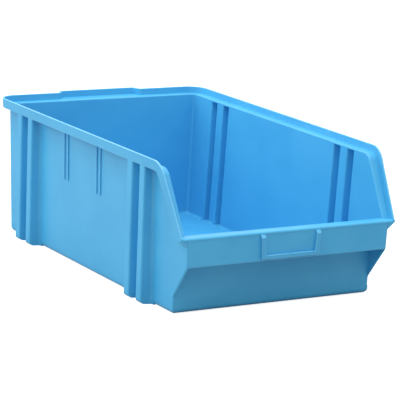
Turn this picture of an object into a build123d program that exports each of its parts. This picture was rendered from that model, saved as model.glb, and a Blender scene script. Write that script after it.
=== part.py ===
"""Open-front stacking storage bin: one polypropylene moulding, written as its named sections.

The origin is on the ground under the middle of the bin. +Y points to the rear, +X to the right
as seen from the open front, and +Z up. Lengths are in millimetres and angles in degrees.
"""

from build123d import *

import os
from math import radians, tan

os.makedirs("parts", exist_ok=True)

# Overall size
height = 180.0
rim_width = 310.6
rim_length = 489.8
grip_projection = 12.0
label_projection = 3.3

# Walls and floor
wall = 2.5
floor = 3.0
wall_draft = 1.7
base_side_setback = 17.3
base_rear_setback = 17.0
base_front_setback = 31.8
base_round = 6.0
inner_base_round = 3.5
tray_height = 10.0

# Rim that runs round the top and down both slopes
lip_thickness = 2.5
rim_draft = 3.8
ledge_depth = 8.6
ledge_thickness = 2.5
skirt_depth = 12.7
rim_corner_round = 24.0
lip_edge_round = 1.0
ledge_edge_round = 1.6

# Sloping sides of the open front
slope_run = 47.5
slope_round = 25.0

# Front wall, its lip and the downturned band below it
lip_height = 98.9
lip_plate = 3.3
lip_nose_round = 2.6
band_setback = 0.4
band_bottom = 63.2
pocket_depth = 8.0
gusset_low = 21.1
gusset_round = 5.0
front_edge_round = 1.8
flare_drop = 7.8

# Pull grip in the middle of the rear rim
grip_base_width = 124.0
grip_width = 115.0
grip_round = 5.0
grip_base_round = 4.0
grip_zone = 140.0

# Hollow ribs on the sides, in pairs
rib_pitch = 30.0
rear_pair_setback = 84.5
front_pair_setback = 105.3
rib_base_width = 18.0
rib_face_width = 12.4
rib_edge_round = 2.5
rib_root_round = 4.5
groove_bottom_round = 1.0
groove_mouth_round = 2.0
stack_clearance = 0.4

# Thin stiffeners on the outside of the side walls, in pairs
stiffener_thickness = 1.5
stiffener_projection = 1.8
stiffener_foot = 102.5
stiffener_pitch = 9.7
rear_stiffener_setback = 183.6
front_stiffener_setback = 219.1

# Label frame on the band
label_width = 79.4
label_top_width = 83.4
label_border = 5.7
label_bottom_border = 4.8
label_foot = 66.0
label_chamfer = 3.0

# Heights and places worked out from the sizes above
overall_length = label_projection + rim_length + grip_projection
base_width = rim_width - 2 * base_side_setback
lip_front = label_projection - overall_length / 2
rim_rear = lip_front + rim_length
base_front = lip_front + base_front_setback
base_rear = rim_rear - base_rear_setback
slope_top = lip_front + slope_run
band_front = lip_front + band_setback
pocket_front = band_front + wall
pocket_rear = pocket_front + pocket_depth
mouth_face = pocket_rear + wall
lip_underside = lip_height - lip_plate
shelf_top = band_bottom + wall
ledge_top = height - ledge_depth
ledge_underside = ledge_top - ledge_thickness
skirt_foot = height - skirt_depth
wall_slope = tan(radians(wall_draft))
rim_slope = tan(radians(rim_draft))
front_rise = (height - lip_height) / slope_run
corner_shift = ((1 + front_rise**2) ** 0.5 - 1) / front_rise
corner_plane = base_rear - wall - base_round
slope_plane = slope_top + slope_round * corner_shift
far = overall_length

# The ribs stand inside the lip of a bin below, and meet the skirt of their own rim at the top
rib_face_top = rim_width / 2 - skirt_depth * rim_slope
rib_face_foot = rim_width / 2 - lip_thickness - stack_clearance
rib_face_slope = (rib_face_top - rib_face_foot) / skirt_foot
rear_pair = rim_rear - rear_pair_setback
front_pair = lip_front + front_pair_setback
rib_places = {
    "rear_rib_1": rear_pair + rib_pitch / 2,
    "rear_rib_2": rear_pair - rib_pitch / 2,
    "front_rib_1": front_pair + rib_pitch / 2,
    "front_rib_2": front_pair - rib_pitch / 2,
}
stiffener_places = [
    rim_rear - rear_stiffener_setback + stiffener_pitch / 2,
    rim_rear - rear_stiffener_setback - stiffener_pitch / 2,
    lip_front + front_stiffener_setback + stiffener_pitch / 2,
    lip_front + front_stiffener_setback - stiffener_pitch / 2,
]


def wall_half(level):
    """Half the width over the side walls at a level."""
    return base_width / 2 + level * wall_slope


def wall_rear(level):
    """Outer face of the rear wall at a level."""
    return base_rear + level * wall_slope


def rib_face(level):
    """Distance of a rib's outer face from the middle of the bin at a level."""
    return rib_face_foot + level * rib_face_slope


def block(x_range, y_range, z_range):
    """A plain block between two values along each axis, used to cut out one section."""
    spans = [high - low for low, high in (x_range, y_range, z_range)]
    centre = [(low + high) / 2 for low, high in (x_range, y_range, z_range)]
    with BuildPart() as region:
        with Locations(tuple(centre)):
            Box(*spans)
    return region.part


def side_prism(points, radii):
    """A prism across the whole bin over a profile in the Y-Z plane."""
    with BuildPart() as prism:
        with BuildSketch(Plane.YZ):
            with BuildLine():
                FilletPolyline(*points, radius=radii, close=True)
            make_face()
        extrude(amount=far, both=True)
    return prism.part


def wall_envelope(inset, foot, front, foot_round):
    """The tapered box inside the wall faces, moved in by inset, from foot to above the rim."""
    with BuildPart() as envelope:
        for level in (foot, height + ledge_depth):
            with BuildSketch(Plane.XY.offset(level)):
                half = wall_half(level) - inset
                rear = wall_rear(level) - inset
                with BuildLine():
                    Polyline((-half, front), (half, front), (half, rear), (-half, rear), close=True)
                make_face()
        loft(ruled=True)
        uprights = envelope.edges().filter_by(lambda edge: abs(edge.tangent_at(0.5).Z) > 0.9)
        if foot_round > 0:
            fillet(uprights.group_by(Axis.Y)[-1], foot_round)
            fillet(envelope.faces().sort_by(Axis.Z)[0].edges(), foot_round)
    return envelope.part


def rim_envelope(inset, front):
    """The tapered solid inside the rim's outer face, moved in by inset, with the grip's bulge."""
    with BuildPart() as envelope:
        for level in (0, height + ledge_depth):
            half = rim_width / 2 - (height - level) * rim_slope - inset
            rear = rim_rear - (height - level) * rim_slope - inset
            grip_base = grip_base_width / 2 - inset
            grip_half = grip_width / 2 - inset
            bulge = rear + grip_projection
            points = [(-half, front), (half, front), (half, rear), (grip_base, rear)]
            points += [(grip_half, bulge), (-grip_half, bulge), (-grip_base, rear), (-half, rear)]
            corner = rim_corner_round - inset
            root = grip_base_round + inset
            outer = grip_round - inset
            radii = [0, 0, corner, root, outer, outer, root, corner]
            with BuildSketch(Plane.XY.offset(level)):
                with BuildLine():
                    FilletPolyline(*points, radius=radii, close=True)
                make_face()
        loft(ruled=True)
    return envelope.part


def under_rim(depth, foot):
    """All that lies deeper than depth below the rim line, down to a foot level."""
    corner_y = slope_top + depth * corner_shift
    foot_y = corner_y - (height - depth - foot) / front_rise
    points = [(far, foot), (far, height - depth), (corner_y, height - depth), (foot_y, foot)]
    return side_prism(points, [0, 0, max(slope_round - depth, 0), 0])


def slope_at(depth, level):
    """Where the front slope, moved in by depth, stands at a level."""
    return slope_top + depth * corner_shift - (height - depth - level) / front_rise


def rib_section(x_root, x_face, root_half, face_half, root_round, face_round):
    """Points and radii of a rib's plan outline, which widens into a slab behind its root."""
    reach = root_half + root_round
    points = [(x_root - wall, -reach), (x_root, -reach)]
    points += [(x_root, -root_half), (x_face, -face_half), (x_face, face_half)]
    points += [(x_root, root_half), (x_root, reach), (x_root - wall, reach)]
    return points, [0, 0, root_round, face_round, face_round, root_round, 0, 0]


def rib_solid(place, inset, foot, top, root_round, face_round):
    """A tapered rib on the left wall, or its groove when inset is the wall thickness."""
    taper = (rib_base_width - rib_face_width) / 2 / (rib_face_foot - base_width / 2)
    side_inset = inset * ((1 + taper**2) ** 0.5 - taper)
    with BuildPart() as rib:
        for level in (foot, top):
            points, radii = rib_section(
                wall_half(level) - inset,
                rib_face(level) - inset,
                rib_base_width / 2 - side_inset,
                rib_face_width / 2 - side_inset,
                root_round,
                face_round,
            )
            placed = [(-x, place - y) for x, y in points]
            with BuildSketch(Plane.XY.offset(level)):
                with BuildLine():
                    FilletPolyline(*placed, radius=radii, close=True)
                make_face()
        loft(ruled=True)
    return rib.part


def foot_cutter():
    """What is cut away along the left side to round the lower outer edges of the rib feet."""
    face_x = -rib_face(base_round)
    centre_x = face_x + base_round
    with BuildPart() as cutter:
        with BuildSketch(Plane.XZ):
            with BuildLine():
                Polyline(
                    (centre_x, 0),
                    (centre_x, -wall),
                    (face_x - wall, -wall),
                    (face_x - wall, base_round),
                    (face_x, base_round),
                )
                CenterArc((centre_x, base_round), base_round, 180, 90)
            make_face()
        extrude(amount=far, both=True)
    return cutter.part


# The whole moulding, which the sections below are cut from
inner_space = wall_envelope(wall, -far / 10, -far, 0)
rounded_space = wall_envelope(wall, floor, -far, inner_base_round)
rim_outside = rim_envelope(0, lip_front)
rim_inside = rim_envelope(lip_thickness, -far)
skirt_line = under_rim(skirt_depth, lip_underside)

wall_outline = side_prism(
    [
        (far, 0),
        (base_front, 0),
        (base_front, gusset_low),
        (band_front, band_bottom),
        (band_front, lip_underside + lip_plate / 2),
        (slope_at(ledge_depth, lip_underside + lip_plate / 2), lip_underside + lip_plate / 2),
        (slope_top + ledge_depth * corner_shift, ledge_top),
        (far, ledge_top),
    ],
    [0, base_round, gusset_round, gusset_round, 0, 0, max(slope_round - ledge_depth, 0), 0],
)
inside_outline = side_prism(
    [
        (far, 0),
        (base_front + wall, 0),
        (base_front + wall, shelf_top),
        (mouth_face, shelf_top),
        (mouth_face, lip_height),
        (-far, lip_height),
        (-far, far),
        (far, far),
    ],
    [0, 0, inner_base_round, inner_base_round, 0, 0, 0, 0],
)
pocket_outline = side_prism(
    [
        (pocket_front, -far),
        (base_front, -far),
        (base_front, band_bottom),
        (pocket_rear, band_bottom),
        (pocket_rear, lip_underside),
        (pocket_front, lip_underside),
    ],
    [0, 0, 0, 0, 0, 0],
)
lip_outline = side_prism(
    [
        (lip_front, lip_underside),
        (mouth_face, lip_underside),
        (mouth_face, lip_height),
        (lip_front, lip_height),
    ],
    [0, 0, 0, lip_nose_round],
)

rib_foot_cutter = foot_cutter()
rim_ring = (rim_outside & under_rim(0, lip_underside)) - skirt_line - rim_inside
ledge_plate = rim_inside & under_rim(ledge_depth, lip_underside)
ledge_plate = ledge_plate - under_rim(ledge_depth + ledge_thickness, lip_underside)
left_half = block((-far, 0), (-far, far), (-far, far))

with BuildPart() as left_moulding:
    add(wall_envelope(0, 0, band_front, base_round))
    add(wall_outline, mode=Mode.INTERSECT)
    add(rim_ring)
    add(ledge_plate)
    add(rim_envelope(0, -far) & lip_outline)
    add(left_half, mode=Mode.INTERSECT)
    for rib_y in rib_places.values():
        rib = rib_solid(
            rib_y, 0, 0, ledge_top - ledge_thickness / 2, rib_root_round, rib_edge_round
        )
        add(rib - rib_foot_cutter)
    add(rounded_space & inside_outline, mode=Mode.SUBTRACT)
    add(inner_space & pocket_outline, mode=Mode.SUBTRACT)
    for rib_y in rib_places.values():
        groove = rib_solid(
            rib_y, wall, floor, ledge_underside, groove_mouth_round, groove_bottom_round
        )
        add(groove, mode=Mode.SUBTRACT)

# Zones that share the left half out among the floor, the walls, the lip and the rim
skirt_corner = slope_top + skirt_depth * corner_shift
skirt_corner_round = max(slope_round - skirt_depth, 0)
wall_zone = side_prism(
    [
        (far, tray_height),
        (far, skirt_foot),
        (skirt_corner, skirt_foot),
        (slope_at(skirt_depth, lip_underside), lip_underside),
        (-far, lip_underside),
        (-far, tray_height),
    ],
    [0, 0, skirt_corner_round, 0, 0, 0],
)
rim_zone = side_prism(
    [
        (far, skirt_foot),
        (far, far),
        (-far, far),
        (-far, lip_height),
        (slope_at(skirt_depth, lip_height), lip_height),
        (skirt_corner, skirt_foot),
    ],
    [0, 0, 0, 0, 0, skirt_corner_round],
)
lip_zone = block((-far, far), (-far, 0), (lip_underside, lip_height)) - wall_zone
left_tray = left_moulding.part & block((-far, 0), (-far, far), (-far, tray_height))
left_walls = left_moulding.part & wall_zone
left_side_walls = left_walls - inner_space
left_front_walls = left_walls & inner_space & block((-far, 0), (-far, 0), (0, far))
left_lip = left_moulding.part & lip_zone
left_rim = left_moulding.part & rim_zone


def finish(piece, name):
    """Label a finished section and write it."""
    piece.label = name
    export_step(piece, f"parts/{name}.step")


def finish_pair(piece, name):
    """Write a left-hand section and its mirror image on the right."""
    finish(piece, f"left_{name}")
    finish(mirror(piece, about=Plane.YZ), f"right_{name}")


def finish_whole(piece, name):
    """Join a left half to its mirror image and write the two as one section."""
    with BuildPart() as section:
        add(piece)
        mirror(about=Plane.YZ)
    finish(section.part, name)


def long_upper_edges(piece):
    """The long edges of the faces that look up, or forward and up."""
    upper = piece.faces().filter_by(lambda face: face.normal_at().Z > 0.3)
    return upper.edges().filter_by(lambda edge: edge.length > 2 * lip_thickness)


def stands_on_inner_face(edge):
    """Whether an edge lies on the inner face of a side wall or of the rear wall."""
    centre = edge.center()
    beside = abs(centre.X) - (wall_half(centre.Z) - wall)
    behind = centre.Y - (wall_rear(centre.Z) - wall)
    return min(abs(beside), abs(behind)) < wall / 10


# Floor, with the foot of every wall and rib
finish_whole(left_tray, "floor_tray")

# Rear wall with its rounded corners
with BuildPart() as rear_wall:
    add(left_walls)
    add(block((-far, 0), (corner_plane, far), (0, far)), mode=Mode.INTERSECT)
finish_whole(rear_wall.part, "rear_wall")

# Side walls, each as panels between hollow ribs
rib_reach = rib_pitch / 2
side_sections = {
    "rear_panel": (rear_pair + rib_pitch, corner_plane),
    "middle_panel": (front_pair + rib_pitch, rear_pair - rib_pitch),
    "front_panel": (-far, front_pair - rib_pitch),
}
for rib_name, rib_y in rib_places.items():
    side_sections[rib_name] = (rib_y - rib_reach, rib_y + rib_reach)

for section_name, y_range in side_sections.items():
    with BuildPart() as side_section:
        add(left_side_walls)
        add(block((-far, 0), y_range, (0, far)), mode=Mode.INTERSECT)
        if section_name == "front_panel":
            forward = side_section.faces().filter_by(lambda face: face.normal_at().Y < -0.3)
            gusset_edges = forward.edges().filter_by(
                lambda edge: edge.length > wall
                and edge.center().Z < lip_underside
                and edge.center().Y < base_front + wall
                and edge.center().X < wall / 2 - wall_half(edge.center().Z)
            )
            fillet(gusset_edges, front_edge_round)
    finish_pair(side_section.part, section_name)

# Thin stiffeners outside the side walls
for number, stiffener_y in enumerate(stiffener_places, start=1):
    top_x = -wall_half(ledge_underside)
    foot_x = -wall_half(stiffener_foot)
    with BuildPart() as stiffener:
        with BuildSketch(Plane.XZ.offset(-stiffener_y)):
            with BuildLine():
                Polyline(
                    (foot_x, stiffener_foot),
                    (foot_x - stiffener_projection, stiffener_foot + stiffener_projection),
                    (top_x - stiffener_projection, ledge_underside),
                    (top_x, ledge_underside),
                    close=True,
                )
            make_face()
        extrude(amount=stiffener_thickness / 2, both=True)
    finish_pair(stiffener.part, f"stiffener_{number}")

# Rim: an upright lip round the outside and a flat ledge inside it
rim_sections = {
    "slope": ((-far, 0), (-far, slope_plane)),
    "side": ((-far, 0), (slope_plane, corner_plane)),
    "rear": ((-far, -grip_zone / 2), (corner_plane, far)),
    "grip": ((-grip_zone / 2, 0), (corner_plane, far)),
}
for section_name, (x_range, y_range) in rim_sections.items():
    span = block(x_range, y_range, (0, far))
    with BuildPart() as rim_lip:
        add(left_rim)
        add(span, mode=Mode.INTERSECT)
        add(rim_inside, mode=Mode.SUBTRACT)
        fillet(long_upper_edges(rim_lip), lip_edge_round)
    with BuildPart() as rim_ledge:
        add(left_rim)
        add(span, mode=Mode.INTERSECT)
        add(rim_inside, mode=Mode.INTERSECT)
        fillet(long_upper_edges(rim_ledge).filter_by(stands_on_inner_face), ledge_edge_round)
    if section_name == "grip":
        finish_whole(rim_lip.part, "grip_rim_lip")
        finish_whole(rim_ledge.part, "grip_rim_ledge")
    else:
        finish_pair(rim_lip.part, f"{section_name}_rim_lip")
        finish_pair(rim_ledge.part, f"{section_name}_rim_ledge")

# Front wall, stepped forward to the lip
front_sections = {
    "front_wall": ((base_front, 0), (tray_height, band_bottom)),
    "front_shelf": ((pocket_rear, 0), (band_bottom, shelf_top)),
    "front_mouth_wall": ((pocket_rear, 0), (shelf_top, lip_underside)),
    "front_band": ((-far, pocket_rear), (band_bottom, lip_underside)),
}
for section_name, (y_range, z_range) in front_sections.items():
    with BuildPart() as front_section:
        add(left_front_walls)
        add(block((-far, 0), y_range, z_range), mode=Mode.INTERSECT)
    finish_whole(front_section.part, section_name)
finish_whole(left_lip, "front_lip")

# Flares that close the ends of the lip down to the side walls
lip_end = (height - lip_underside) * rim_slope - rim_width / 2
flare_foot = lip_underside - flare_drop
with BuildPart() as flare:
    with BuildSketch(Plane.XZ.offset(-band_front)):
        with BuildLine():
            Polyline(
                (-wall_half(flare_foot), flare_foot),
                (lip_end, lip_underside),
                (-wall_half(lip_underside), lip_underside),
                close=True,
            )
        make_face()
    extrude(amount=-wall)
    with BuildSketch(Plane.XZ.offset(-band_front)):
        with BuildLine():
            Polyline(
                (-wall_half(flare_foot), flare_foot),
                (lip_end, lip_underside),
                (lip_end + wall, lip_underside),
                (-wall_half(flare_foot + wall), flare_foot + wall),
                close=True,
            )
        make_face()
    extrude(amount=-(pocket_depth + wall))
finish_pair(flare.part, "lip_flare")

# Label frame on the band, open to the lip above
half_foot = label_width / 2
half_top = label_top_width / 2
inner_foot = label_foot + label_bottom_border
with BuildPart() as label_frame:
    with BuildSketch(Plane.XZ.offset(-band_front)):
        with BuildLine():
            Polyline(
                (-half_top, lip_underside),
                (-half_foot, label_foot),
                (half_foot, label_foot),
                (half_top, lip_underside),
                (half_top - label_border, lip_underside),
                (half_foot - label_border, inner_foot),
                (label_border - half_foot, inner_foot),
                (label_border - half_top, lip_underside),
                close=True,
            )
        make_face()
    extrude(amount=band_front - lip_front + label_projection)
    front_edges = label_frame.faces().sort_by(Axis.Y)[0].edges()
    chamfer(front_edges.group_by(Axis.Z)[-1], label_chamfer)
finish(label_frame.part, "label_frame")
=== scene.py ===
"""Open-front storage bin in moulded polypropylene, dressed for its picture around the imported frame.

Each section of the moulding is rebuilt as a merged mesh whose free edges get the small radius
that a real mould leaves, while the edges along a seam between two sections stay as they are.
"""

from math import ceil, radians

import bmesh
import bpy
from bpy.props import FloatProperty, FloatVectorProperty, IntProperty, PointerProperty
from mathutils import Matrix, Vector
from mathutils.bvhtree import BVHTree


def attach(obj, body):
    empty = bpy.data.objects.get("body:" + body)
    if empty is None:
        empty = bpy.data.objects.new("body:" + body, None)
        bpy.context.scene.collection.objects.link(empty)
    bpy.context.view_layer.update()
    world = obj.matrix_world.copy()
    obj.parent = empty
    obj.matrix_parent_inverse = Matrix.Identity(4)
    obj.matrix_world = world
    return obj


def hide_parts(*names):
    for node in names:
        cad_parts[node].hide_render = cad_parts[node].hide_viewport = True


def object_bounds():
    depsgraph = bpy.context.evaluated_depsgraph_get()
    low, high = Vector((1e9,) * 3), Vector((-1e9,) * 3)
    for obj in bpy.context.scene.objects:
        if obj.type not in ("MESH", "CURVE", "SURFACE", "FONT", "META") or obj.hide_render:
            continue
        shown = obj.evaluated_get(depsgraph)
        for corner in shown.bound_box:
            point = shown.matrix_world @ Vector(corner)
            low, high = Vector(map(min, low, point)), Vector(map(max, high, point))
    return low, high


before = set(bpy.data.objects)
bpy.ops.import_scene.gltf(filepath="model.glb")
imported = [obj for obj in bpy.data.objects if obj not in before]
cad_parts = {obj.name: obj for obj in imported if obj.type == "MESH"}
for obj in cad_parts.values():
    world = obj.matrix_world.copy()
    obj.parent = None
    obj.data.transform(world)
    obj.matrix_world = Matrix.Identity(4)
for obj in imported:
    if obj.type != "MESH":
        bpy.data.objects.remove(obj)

bl_info = {
    "name": "Open-front storage bin",
    "version": (1, 0, 0),
    "blender": (4, 5, 0),
    "location": "View3D > Sidebar > Storage Bin",
    "description": "Builds the moulded bin, its finish and its stage around the packed frame",
    "category": "Object",
}

CAD_BOX = [list(corner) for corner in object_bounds()]
BASE_HEIGHT = CAD_BOX[0][2]
RIM_HEIGHT = CAD_BOX[1][2]
BODY = "root"
PLASTIC_NAME = "moulded_polypropylene"
# Name of the face mark that makes free edges and the rim's crown paler: partly wear, partly a painted
# highlight along them
EDGE_WEAR_AND_HIGHLIGHT_MARK = "edge_wear"
SIDES = ("left", "right")

# How finely the sections are read, in metres and radians
MERGE_GAP = 2e-6
TOUCH_GAP = 2e-5
SEAM_STEP = 2e-4
FLAT_ANGLE = radians(0.5)

# Two faces lie against each other where the product of their normals is below this
FACING = -0.9

# A face of a rim lip belongs to its crown, which gets the painted highlight, where its normal rises by
# more than this
CROWN_RISE = 0.45

# Noise features per metre along each axis, for the two directions of fine scratches
LONG_SCRATCHES = (900.0, 25.0, 25.0)
CROSS_SCRATCHES = (30.0, 800.0, 30.0)

# Heights above the base, and depths below the rim's top, between which scratches fade, in metres
FLOOR_FADE = (0.0035, 0.010)
RIM_FADE = (0.010, 0.002)

# How much each kind of wear pales the plastic, from 0 to 1; on marked edges and crowns the even part is
# a painted highlight and the patchy part is wear
EDGE_WEAR_AND_HIGHLIGHT = 0.35
PATCHY_EDGE_WEAR = 0.30
SCRATCH_WEAR = 0.03
FLOOR_SCRATCH_WEAR = 0.22
RIM_SCRATCH_WEAR = 0.12

# How much the patches, the grain and the wear change the roughness
PATCH_ROUGHNESS = 0.12
GRAIN_ROUGHNESS = 0.06
WORN_ROUGHNESS = 0.15

# The mean of the noise, and the plastic's index of refraction
NOISE_MEAN = 0.5
PLASTIC_IOR = 1.44

# Places and sizes on the stage, in metres
LIT_POINT = (0.0, 0.0, 0.1)
TOP_LAMP_PLACE = (-0.4, -0.1, 2.2)
TOP_LAMP_SIZE = (2.0, 1.8)
LEFT_LAMP_PLACE = (-2.0, 1.3, 1.0)
LEFT_LAMP_SIZE = (2.4, 1.8)
FLOOR_RADIUS = 9.0
FLOOR_SIDES = 96

# Colours and strengths of light on the stage, where 1 is white
WHITE = (1.0, 1.0, 1.0, 1.0)
FLOOR_GREY = (0.42, 0.42, 0.42, 1.0)
FLOOR_LIFT = 0.85
GLOSSY_LIFT = 0.25

# Width of the camera's sensor, in millimetres
SENSOR_WIDTH = 36.0

# Numbers of the colour sockets on a Mix node
MIX_FIRST = 6
MIX_SECOND = 7
MIX_RESULT = 2


class BinMould(bpy.types.PropertyGroup):
    """How the free edges of the moulding are found and rounded."""

    edge_round: FloatProperty(
        name="Edge radius",
        description="Radius of the free edges that the mould leaves",
        unit="LENGTH",
        default=0.0006,
        min=0,
    )
    edge_steps: IntProperty(
        name="Edge steps",
        description="Faces across each rounded edge",
        default=3,
        min=1,
    )
    sharp_angle: FloatProperty(
        name="Sharp angle",
        description="Least turn between two faces that counts as an edge",
        subtype="ANGLE",
        default=radians(38),
    )
    cut_length: FloatProperty(
        name="Cut length",
        description="Longest stretch of edge that is tested as one",
        unit="LENGTH",
        default=0.004,
    )


class BinFinish(bpy.types.PropertyGroup):
    """Colour and surface of the moulded polypropylene."""

    colour: FloatVectorProperty(
        name="Colour",
        description="Main colour of the plastic",
        subtype="COLOR",
        size=3,
        default=(0.072, 0.428, 0.735),
        min=0,
        max=1,
    )
    cloud_colour: FloatVectorProperty(
        name="Cloud colour",
        description="Slightly deeper colour in the clouds that the flowing plastic leaves",
        subtype="COLOR",
        size=3,
        default=(0.062, 0.400, 0.710),
        min=0,
        max=1,
    )
    # Paler colour for scratches and wear, and also the painted highlight on marked edges and the rim
    # lip's crown
    worn_and_highlight_colour: FloatVectorProperty(
        name="Worn and highlight colour",
        description="Paler colour of fine scratches, and of rubbed edges and the rim's crown with their painted highlight",
        subtype="COLOR",
        size=3,
        default=(0.290, 0.640, 0.900),
        min=0,
        max=1,
    )
    roughness: FloatProperty(
        name="Roughness",
        description="Mean roughness of the satin mould finish",
        default=0.34,
        min=0,
        max=1,
    )
    grain_depth: FloatProperty(
        name="Grain depth",
        description="Depth of the fine spark grain of the mould",
        unit="LENGTH",
        default=0.00002,
    )
    wave_depth: FloatProperty(
        name="Wave depth",
        description="Depth of the slow waviness that shrinkage leaves on flat walls",
        unit="LENGTH",
        default=0.00012,
    )


class BinStage(bpy.types.PropertyGroup):
    """Camera, lamps and room light of the picture."""

    camera_place: FloatVectorProperty(
        name="Camera place",
        description="Where the camera stands",
        subtype="TRANSLATION",
        unit="LENGTH",
        size=3,
        default=(-1.3614, -2.3077, 0.6850),
    )
    camera_target: FloatVectorProperty(
        name="Camera target",
        description="The point that the camera looks at",
        subtype="TRANSLATION",
        unit="LENGTH",
        size=3,
        default=(0.01664, -0.0095, 0.08061),
    )
    camera_roll: FloatProperty(
        name="Camera roll",
        description="Turn of the camera about its own line of sight",
        subtype="ANGLE",
        default=radians(2.85),
    )
    lens: FloatProperty(
        name="Lens",
        description="Focal length in millimetres on a 36 mm sensor",
        default=193.6,
    )
    top_power: FloatProperty(
        name="Top lamp",
        description="Power of the soft lamp above the bin",
        unit="POWER",
        default=30.0,
    )
    left_power: FloatProperty(
        name="Left lamp",
        description="Power of the soft lamp to the left of the bin",
        unit="POWER",
        default=28.0,
    )
    low_light: FloatProperty(
        name="Low light",
        description="Strength of the even room light near the horizon",
        default=0.47,
    )
    high_light: FloatProperty(
        name="High light",
        description="What the room light gains from the horizon to straight overhead",
        default=0.80,
    )


class Signal:
    """One output in a node tree. A sum of signals and numbers adds Math nodes."""

    def __init__(self, sheet, socket):
        self.sheet = sheet
        self.socket = socket

    def combine(self, operation, first, second):
        return self.sheet.node("ShaderNodeMath", {"operation": operation}, {0: first, 1: second})

    def __add__(self, other):
        return self.combine("ADD", self, other)

    def __radd__(self, other):
        return self.combine("ADD", other, self)

    def __sub__(self, other):
        return self.combine("SUBTRACT", self, other)

    def __rsub__(self, other):
        return self.combine("SUBTRACT", other, self)

    def __mul__(self, other):
        return self.combine("MULTIPLY", self, other)

    def __rmul__(self, other):
        return self.combine("MULTIPLY", other, self)


class NodeSheet:
    """The node tree of one material, or of the world."""

    def __init__(self, owner):
        owner.use_nodes = True
        self.tree = owner.node_tree
        self.tree.nodes.clear()

    def node(self, kind, settings=None, inputs=None, output=0):
        """Add a node, set it, fill or link its sockets, and return one of its outputs."""
        made = self.tree.nodes.new(kind)
        for name, value in (settings or {}).items():
            setattr(made, name, value)
        for name, value in (inputs or {}).items():
            if isinstance(value, Signal):
                self.tree.links.new(value.socket, made.inputs[name])
            else:
                made.inputs[name].default_value = value
        return Signal(self, made.outputs[output]) if made.outputs else None

    def noise(self, place, scale, detail=2.0, roughness=0.5):
        """Smooth noise from 0 to 1 over a place."""
        inputs = {"Vector": place, "Scale": scale, "Detail": detail, "Roughness": roughness}
        return self.node("ShaderNodeTexNoise", {}, inputs)

    def stretched(self, place, shape):
        """A place scaled by its own factor along each axis, for streaks."""
        return self.node("ShaderNodeVectorMath", {"operation": "MULTIPLY"}, {0: place, 1: shape})

    def ramp(self, signal, low, high):
        """0 below low, 1 above high, and smooth between."""
        inputs = {"Value": signal, "From Min": low, "From Max": high}
        return self.node("ShaderNodeMapRange", {"interpolation_type": "SMOOTHSTEP"}, inputs)

    def mixed(self, factor, first, second):
        """One colour turned into another by a factor."""
        inputs = {"Factor": factor, MIX_FIRST: first, MIX_SECOND: second}
        return self.node("ShaderNodeMix", {"data_type": "RGBA"}, inputs, output=MIX_RESULT)


def opaque(colour):
    """A colour with full alpha, as node sockets hold it."""
    return (*colour, 1.0)


def scratches(sheet, place):
    """Fine scratches both ways, clearest on the floor and near the top of the rim."""
    height = sheet.node("ShaderNodeSeparateXYZ", {}, {0: place}, output="Z")
    along = sheet.noise(sheet.stretched(place, LONG_SCRATCHES), scale=1.0, detail=3.0)
    across = sheet.noise(sheet.stretched(place, CROSS_SCRATCHES), scale=1.0, detail=3.0)
    lines = sheet.ramp(along, low=0.66, high=0.74) + sheet.ramp(across, low=0.68, high=0.76)
    floor = 1.0 - sheet.ramp(height, BASE_HEIGHT + FLOOR_FADE[0], BASE_HEIGHT + FLOOR_FADE[1])
    rim = sheet.ramp(height, RIM_HEIGHT - RIM_FADE[0], RIM_HEIGHT - RIM_FADE[1])
    return lines * (floor * FLOOR_SCRATCH_WEAR + rim * RIM_SCRATCH_WEAR + SCRATCH_WEAR)


def rubbed_and_highlit_edges(sheet, place):
    """Paler marked faces of free edges and of the rim's crown: an even painted highlight, with patchy
    wear on top.
    """
    edge = sheet.node("ShaderNodeAttribute", {"attribute_name": EDGE_WEAR_AND_HIGHLIGHT_MARK}, output="Fac")
    rubbed = sheet.noise(place, scale=260.0, detail=5.0, roughness=0.65)
    return edge * (sheet.ramp(rubbed, low=0.40, high=0.62) * PATCHY_EDGE_WEAR + EDGE_WEAR_AND_HIGHLIGHT)


def polypropylene(finish):
    """Satin moulded polypropylene: flow clouds, spark grain, slow waves, scratches, and rubbed edges
    with a painted highlight along them and on the rim's crown.
    """
    sheet = NodeSheet(bpy.data.materials.new(PLASTIC_NAME))
    place = sheet.node("ShaderNodeTexCoord", output="Object")
    cloud = sheet.noise(place, scale=16.0, detail=3.0)
    patch = sheet.noise(place, scale=45.0, detail=4.0)
    grain = sheet.noise(place, scale=1600.0, detail=2.0)
    wave = sheet.noise(place, scale=28.0, detail=1.0)
    # Wear plus painted highlight: scratches, patchy rubbing, and an even paling of marked edges and
    # crowns that stands in for their highlight
    wear = rubbed_and_highlit_edges(sheet, place) + scratches(sheet, place)
    clouds = sheet.ramp(cloud, low=0.35, high=0.65)
    clouded = sheet.mixed(clouds, opaque(finish.colour), opaque(finish.cloud_colour))
    colour = sheet.mixed(wear, clouded, opaque(finish.worn_and_highlight_colour))
    uneven = (patch - NOISE_MEAN) * PATCH_ROUGHNESS + (grain - NOISE_MEAN) * GRAIN_ROUGHNESS
    roughness = uneven + wear * WORN_ROUGHNESS + finish.roughness
    grain_bump = {"Height": grain, "Distance": finish.grain_depth}
    grained = sheet.node("ShaderNodeBump", {}, grain_bump)
    wave_bump = {"Height": wave, "Distance": finish.wave_depth, "Normal": grained}
    waved = sheet.node("ShaderNodeBump", {}, wave_bump)
    skin = {"Base Color": colour, "Roughness": roughness, "IOR": PLASTIC_IOR, "Normal": waved}
    surface = sheet.node("ShaderNodeBsdfPrincipled", {}, skin)
    sheet.node("ShaderNodeOutputMaterial", {}, {"Surface": surface})


def plastic():
    """The bin's plastic, made at its first use."""
    if PLASTIC_NAME not in bpy.data.materials:
        polypropylene(bpy.context.scene.bin_finish)
    return bpy.data.materials[PLASTIC_NAME]


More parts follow.
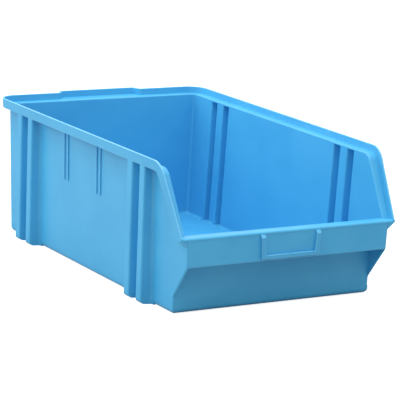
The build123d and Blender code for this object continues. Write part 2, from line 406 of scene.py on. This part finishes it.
def section_mesh(name):
    """A merged copy of one section of the frame, with its flat areas whole."""
    shell = bmesh.new()
    shell.from_mesh(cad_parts[name].data)
    bmesh.ops.remove_doubles(shell, verts=shell.verts, dist=MERGE_GAP)
    bmesh.ops.dissolve_limit(
        shell, angle_limit=FLAT_ANGLE, verts=shell.verts, edges=shell.edges, delimit={"NORMAL"}
    )
    return shell


def neighbour_trees():
    """A search tree over each section, to find where sections meet."""
    trees = {}
    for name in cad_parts:
        shell = bmesh.new()
        shell.from_mesh(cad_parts[name].data)
        trees[name] = BVHTree.FromBMesh(shell)
        shell.free()
    return trees


TREES = neighbour_trees()


def meets_neighbour(name, loop):
    """Whether the face beside an edge lies against another section."""
    start = loop.vert.co
    run = loop.link_loop_next.vert.co - start
    inward = loop.face.normal.cross(run).normalized()
    point = start + run / 2 + inward * SEAM_STEP
    for other, tree in TREES.items():
        if other == name:
            continue
        _, normal, _, _ = tree.find_nearest(point, TOUCH_GAP)
        if normal is not None and normal.dot(loop.face.normal) < FACING:
            return True
    return False


def is_sharp(edge, angle):
    """Whether an edge stands out from the solid and turns by more than an angle."""
    return edge.is_manifold and edge.calc_face_angle_signed() > angle


def round_free_edges(name, shell, mould):
    """Round the outward edges that no other section touches, and mark the new faces, which the plastic
    makes paler as wear and as a painted highlight along the edge.
    """
    sharp = [edge for edge in shell.edges if is_sharp(edge, mould.sharp_angle)]
    for edge in sharp:
        cuts = ceil(edge.calc_length() / mould.cut_length) - 1
        if cuts > 0:
            bmesh.ops.subdivide_edges(shell, edges=[edge], cuts=cuts)
    sharp = [edge for edge in shell.edges if is_sharp(edge, mould.sharp_angle)]
    free = [e for e in sharp if not any(meets_neighbour(name, loop) for loop in e.link_loops)]
    mark = shell.faces.layers.float.new(EDGE_WEAR_AND_HIGHLIGHT_MARK)
    rounded = bmesh.ops.bevel(
        shell,
        geom=free,
        offset=mould.edge_round,
        offset_type="OFFSET",
        segments=mould.edge_steps,
        profile=0.5,
        affect="EDGES",
        clamp_overlap=True,
        material=-1,
    )
    # Marked faces are painted paler: wear, and a painted highlight along the rounded edge
    for face in rounded["faces"]:
        face[mark] = 1.0


def mark_crown_highlight(shell):
    """Mark the faces on top of a rim lip, so that they get the same paler colour as its rounded edges: a
    painted highlight on the lip's top, with patchy wear.
    """
    mark = shell.faces.layers.float[EDGE_WEAR_AND_HIGHLIGHT_MARK]
    for face in shell.faces:
        if face.normal.z > CROWN_RISE:
            face[mark] = 1.0


def moulded_piece(name):
    """Make the finished piece that stands for one section of the frame."""
    mould = bpy.context.scene.bin_mould
    shell = section_mesh(name)
    round_free_edges(name, shell, mould)
    # The lip's up-facing crown is painted paler as a highlight
    if name.endswith("rim_lip"):
        mark_crown_highlight(shell)
    for face in shell.faces:
        face.smooth = True
    for edge in shell.edges:
        edge.smooth = not edge.is_manifold or edge.calc_face_angle() < mould.sharp_angle
    mesh = bpy.data.meshes.new(f"moulded_{name}")
    shell.to_mesh(mesh)
    shell.free()
    mesh.materials.append(plastic())
    piece = bpy.data.objects.new(mesh.name, mesh)
    bpy.context.scene.collection.objects.link(piece)
    even = piece.modifiers.new("even_shading", "WEIGHTED_NORMAL")
    even.keep_sharp = True
    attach(piece, BODY)
    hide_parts(name)


def both_sides(names):
    """Names of the left and right sections of each kind."""
    return tuple(f"{side}_{name}" for side in SIDES for name in names)


class MouldSections:
    """What the operators share that make one group of sections."""

    bl_options = {"REGISTER", "UNDO"}
    sections = ()

    def execute(self, context):
        for name in self.sections:
            moulded_piece(name)
        return {"FINISHED"}


class BIN_OT_floor(MouldSections, bpy.types.Operator):
    """Mould the floor and the foot of every wall"""

    bl_idname = "storage_bin.floor"
    bl_label = "Floor tray"
    sections = ("floor_tray",)


class BIN_OT_walls(MouldSections, bpy.types.Operator):
    """Mould the rear wall and the side panels"""

    bl_idname = "storage_bin.walls"
    bl_label = "Walls"
    sections = ("rear_wall", *both_sides(("rear_panel", "middle_panel", "front_panel")))


class BIN_OT_ribs(MouldSections, bpy.types.Operator):
    """Mould the hollow ribs on the side walls"""

    bl_idname = "storage_bin.ribs"
    bl_label = "Hollow ribs"
    sections = both_sides([f"{end}_rib_{place}" for end in ("rear", "front") for place in (1, 2)])


class BIN_OT_stiffeners(MouldSections, bpy.types.Operator):
    """Mould the thin stiffeners outside the side walls"""

    bl_idname = "storage_bin.stiffeners"
    bl_label = "Stiffeners"
    sections = both_sides([f"stiffener_{place}" for place in range(1, 5)])


class BIN_OT_rim_lip(MouldSections, bpy.types.Operator):
    """Mould the upright lip that runs round the rim, with its rear grip"""

    bl_idname = "storage_bin.rim_lip"
    bl_label = "Rim lip"
    sections = ("grip_rim_lip", *both_sides([f"{run}_rim_lip" for run in ("slope", "side", "rear")]))


class BIN_OT_rim_ledge(MouldSections, bpy.types.Operator):
    """Mould the flat ledge inside the rim, where a stacked bin stands"""

    bl_idname = "storage_bin.rim_ledge"
    bl_label = "Rim ledge"
    sections = ("grip_rim_ledge", *both_sides([f"{run}_rim_ledge" for run in ("slope", "side", "rear")]))


class BIN_OT_front(MouldSections, bpy.types.Operator):
    """Mould the low front: wall, shelf, band, lip and its flares"""

    bl_idname = "storage_bin.front"
    bl_label = "Low front"
    sections = (
        "front_wall",
        "front_shelf",
        "front_mouth_wall",
        "front_band",
        "front_lip",
        *both_sides(("lip_flare",)),
    )


class BIN_OT_label_frame(MouldSections, bpy.types.Operator):
    """Mould the raised frame for a label"""

    bl_idname = "storage_bin.label_frame"
    bl_label = "Label frame"
    sections = ("label_frame",)


def pale_floor():
    """Floor finish that is white to the camera and keeps the bin's soft shadow."""
    material = bpy.data.materials.new("pale_floor")
    sheet = NodeSheet(material)
    camera = sheet.node("ShaderNodeLightPath", output="Is Camera Ray")
    diffuse = sheet.node("ShaderNodeBsdfDiffuse", {}, {"Color": FLOOR_GREY})
    lift = sheet.node("ShaderNodeEmission", {}, {"Color": WHITE, "Strength": camera * FLOOR_LIFT})
    both = sheet.node("ShaderNodeAddShader", {}, {0: diffuse, 1: lift})
    sheet.node("ShaderNodeOutputMaterial", {}, {"Surface": both})
    return material


def studio_room(stage):
    """Soft light from all round, strongest overhead, and white where the camera sees it."""
    world = bpy.data.worlds.new("studio")
    bpy.context.scene.world = world
    sheet = NodeSheet(world)
    camera = sheet.node("ShaderNodeLightPath", output="Is Camera Ray")
    direction = sheet.node("ShaderNodeTexCoord", output="Generated")
    rise = sheet.node("ShaderNodeSeparateXYZ", {}, {0: direction}, output="Z")
    level = sheet.ramp(rise, low=0.0, high=1.0) * stage.high_light + stage.low_light
    glossy = sheet.node("ShaderNodeLightPath", output="Is Glossy Ray")
    seen = camera + (1.0 - camera) * (level + glossy * GLOSSY_LIFT)
    light = sheet.node("ShaderNodeBackground", {}, {"Color": WHITE, "Strength": seen})
    sheet.node("ShaderNodeOutputWorld", {}, {"Surface": light})


def soft_lamp(name, place, size, power):
    """A rectangular soft lamp turned to the bin."""
    data = bpy.data.lights.new(name, "AREA")
    data.shape = "RECTANGLE"
    data.size, data.size_y = size
    data.energy = power
    lamp = bpy.data.objects.new(name, data)
    lamp.location = place
    lamp.rotation_euler = (Vector(LIT_POINT) - Vector(place)).to_track_quat("-Z", "Y").to_euler()
    bpy.context.scene.collection.objects.link(lamp)


def floor_disc():
    """The round floor that the bin stands on."""
    mesh = bpy.data.meshes.new("studio_floor")
    disc = bmesh.new()
    bmesh.ops.create_circle(disc, cap_ends=True, segments=FLOOR_SIDES, radius=FLOOR_RADIUS)
    disc.to_mesh(mesh)
    disc.free()
    mesh.materials.append(pale_floor())
    floor = bpy.data.objects.new("studio_floor", mesh)
    bpy.context.scene.collection.objects.link(floor)


def photo_camera(stage):
    """The camera at the picture's place, level apart from a small roll."""
    view = bpy.data.cameras.new("photo_camera")
    view.lens = stage.lens
    view.sensor_width = SENSOR_WIDTH
    camera = bpy.data.objects.new("photo_camera", view)
    place = Vector(stage.camera_place)
    back = (place - Vector(stage.camera_target)).normalized()
    right = Vector((0, 0, 1)).cross(back).normalized()
    upright = Matrix((right, back.cross(right), back)).transposed()
    turn = Matrix.Rotation(stage.camera_roll, 3, "Z")
    camera.matrix_world = Matrix.Translation(place) @ (upright @ turn).to_4x4()
    bpy.context.scene.collection.objects.link(camera)
    bpy.context.scene.camera = camera


class BIN_OT_stage(bpy.types.Operator):
    """Set the pale floor, the soft lamps, the studio room and the camera"""

    bl_idname = "storage_bin.stage"
    bl_label = "Stage"
    bl_options = {"REGISTER", "UNDO"}

    def execute(self, context):
        stage = context.scene.bin_stage
        floor_disc()
        soft_lamp("top_lamp", TOP_LAMP_PLACE, TOP_LAMP_SIZE, stage.top_power)
        soft_lamp("left_lamp", LEFT_LAMP_PLACE, LEFT_LAMP_SIZE, stage.left_power)
        studio_room(stage)
        photo_camera(stage)
        context.scene.view_settings.view_transform = "Standard"
        return {"FINISHED"}


STEPS = (
    BIN_OT_floor,
    BIN_OT_walls,
    BIN_OT_ribs,
    BIN_OT_stiffeners,
    BIN_OT_rim_ledge,
    BIN_OT_rim_lip,
    BIN_OT_front,
    BIN_OT_label_frame,
    BIN_OT_stage,
)


class BIN_PT_sidebar(bpy.types.Panel):
    """Steps and settings of the storage bin in the 3D view's sidebar."""

    bl_label = "Storage Bin"
    bl_idname = "BIN_PT_sidebar"
    bl_space_type = "VIEW_3D"
    bl_region_type = "UI"
    bl_category = "Storage Bin"

    def draw(self, context):
        scene = context.scene
        for group in (scene.bin_mould, scene.bin_finish, scene.bin_stage):
            for name in group.__annotations__:
                self.layout.prop(group, name)
        for step in STEPS:
            self.layout.operator(step.bl_idname)


CLASSES = (BinMould, BinFinish, BinStage, *STEPS, BIN_PT_sidebar)


def register():
    for kind in CLASSES:
        bpy.utils.register_class(kind)
    bpy.types.Scene.bin_mould = PointerProperty(type=BinMould)
    bpy.types.Scene.bin_finish = PointerProperty(type=BinFinish)
    bpy.types.Scene.bin_stage = PointerProperty(type=BinStage)


def unregister():
    del bpy.types.Scene.bin_stage
    del bpy.types.Scene.bin_finish
    del bpy.types.Scene.bin_mould
    for kind in reversed(CLASSES):
        bpy.utils.unregister_class(kind)


def main():
    """Run every step in order."""
    register()
    for step in STEPS:
        group, call = step.bl_idname.split(".")
        getattr(getattr(bpy.ops, group), call)()


if __name__ == "__main__":
    main()
